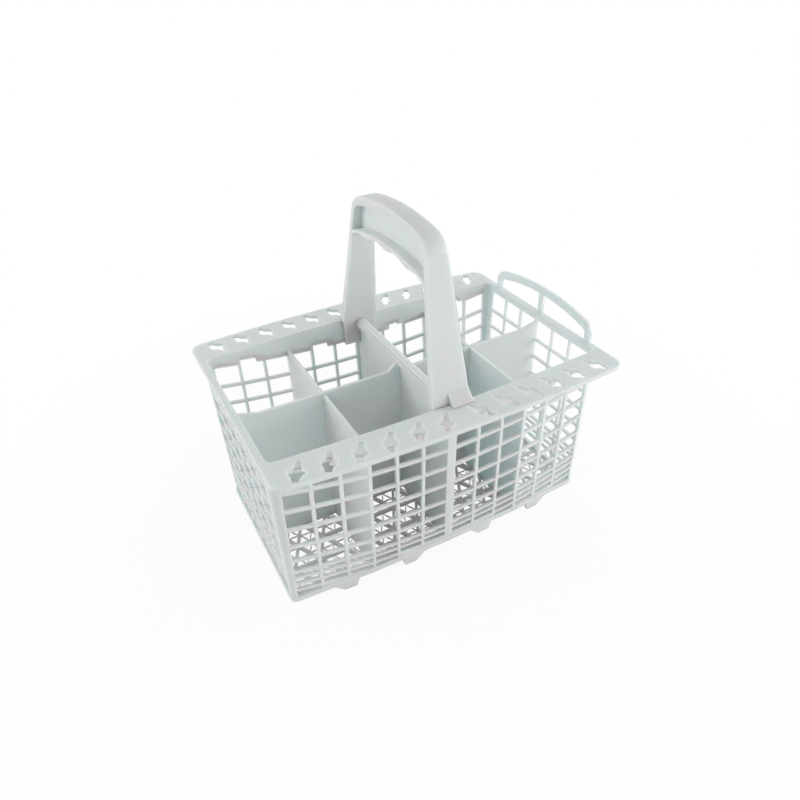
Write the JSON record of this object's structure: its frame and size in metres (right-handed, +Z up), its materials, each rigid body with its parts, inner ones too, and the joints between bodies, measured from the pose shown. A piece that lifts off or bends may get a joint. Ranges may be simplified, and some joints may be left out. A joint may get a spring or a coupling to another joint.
{
  "type": "dishwasher cutlery basket",
  "caption": "Open-grid rectangular basket with divided compartments, pierced side flanges and an arched carrying handle, for holding cutlery in a dishwasher.",
  "frame": {"origin": "middle of the basket in plan, on the surface that its feet stand on", "axes": "+X along the basket's length, towards the end with the hoop; +Y across it; +Z up"},
  "size_m": [0.2366, 0.1774, 0.2222],
  "materials": {
    "basket_plastic": "satin moulded polypropylene, pale cool grey",
    "handle_plastic": "satin moulded polypropylene, pale cool grey"
  },
  "bodies": {
    "root": {"basket": "basket_plastic", "handle": "handle_plastic"}
  },
  "joints": []
}
